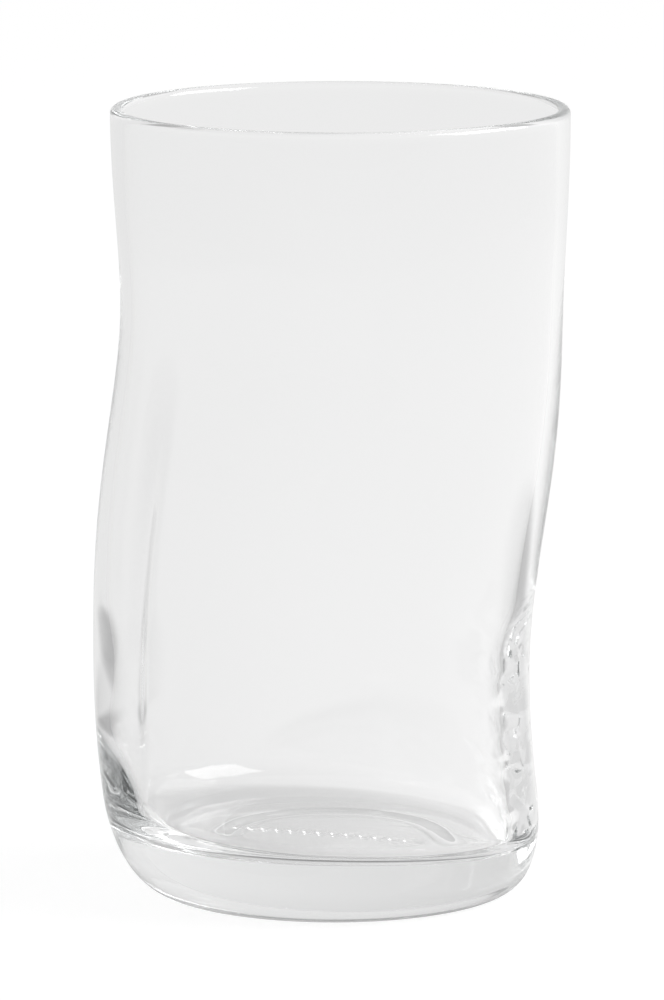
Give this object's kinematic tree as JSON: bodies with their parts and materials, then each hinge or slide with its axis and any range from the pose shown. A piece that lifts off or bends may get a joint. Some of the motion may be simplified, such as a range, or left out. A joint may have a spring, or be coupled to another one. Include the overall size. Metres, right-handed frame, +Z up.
{
  "type": "drinking glass",
  "caption": "Tall clear drinking glass with a wavy round body, a rounded rim and a thick base with a shallow hollow under it.",
  "frame": {"origin": "middle of the glass's outline, on the table that it stands on", "axes": "+Z up towards the rim, -Y towards the side that the picture shows, +X to that view's right"},
  "size_m": [0.0844, 0.081, 0.14],
  "materials": {
    "clear_glass": "polished"
  },
  "bodies": {
    "root": {"tumbler": "clear_glass"}
  },
  "joints": []
}
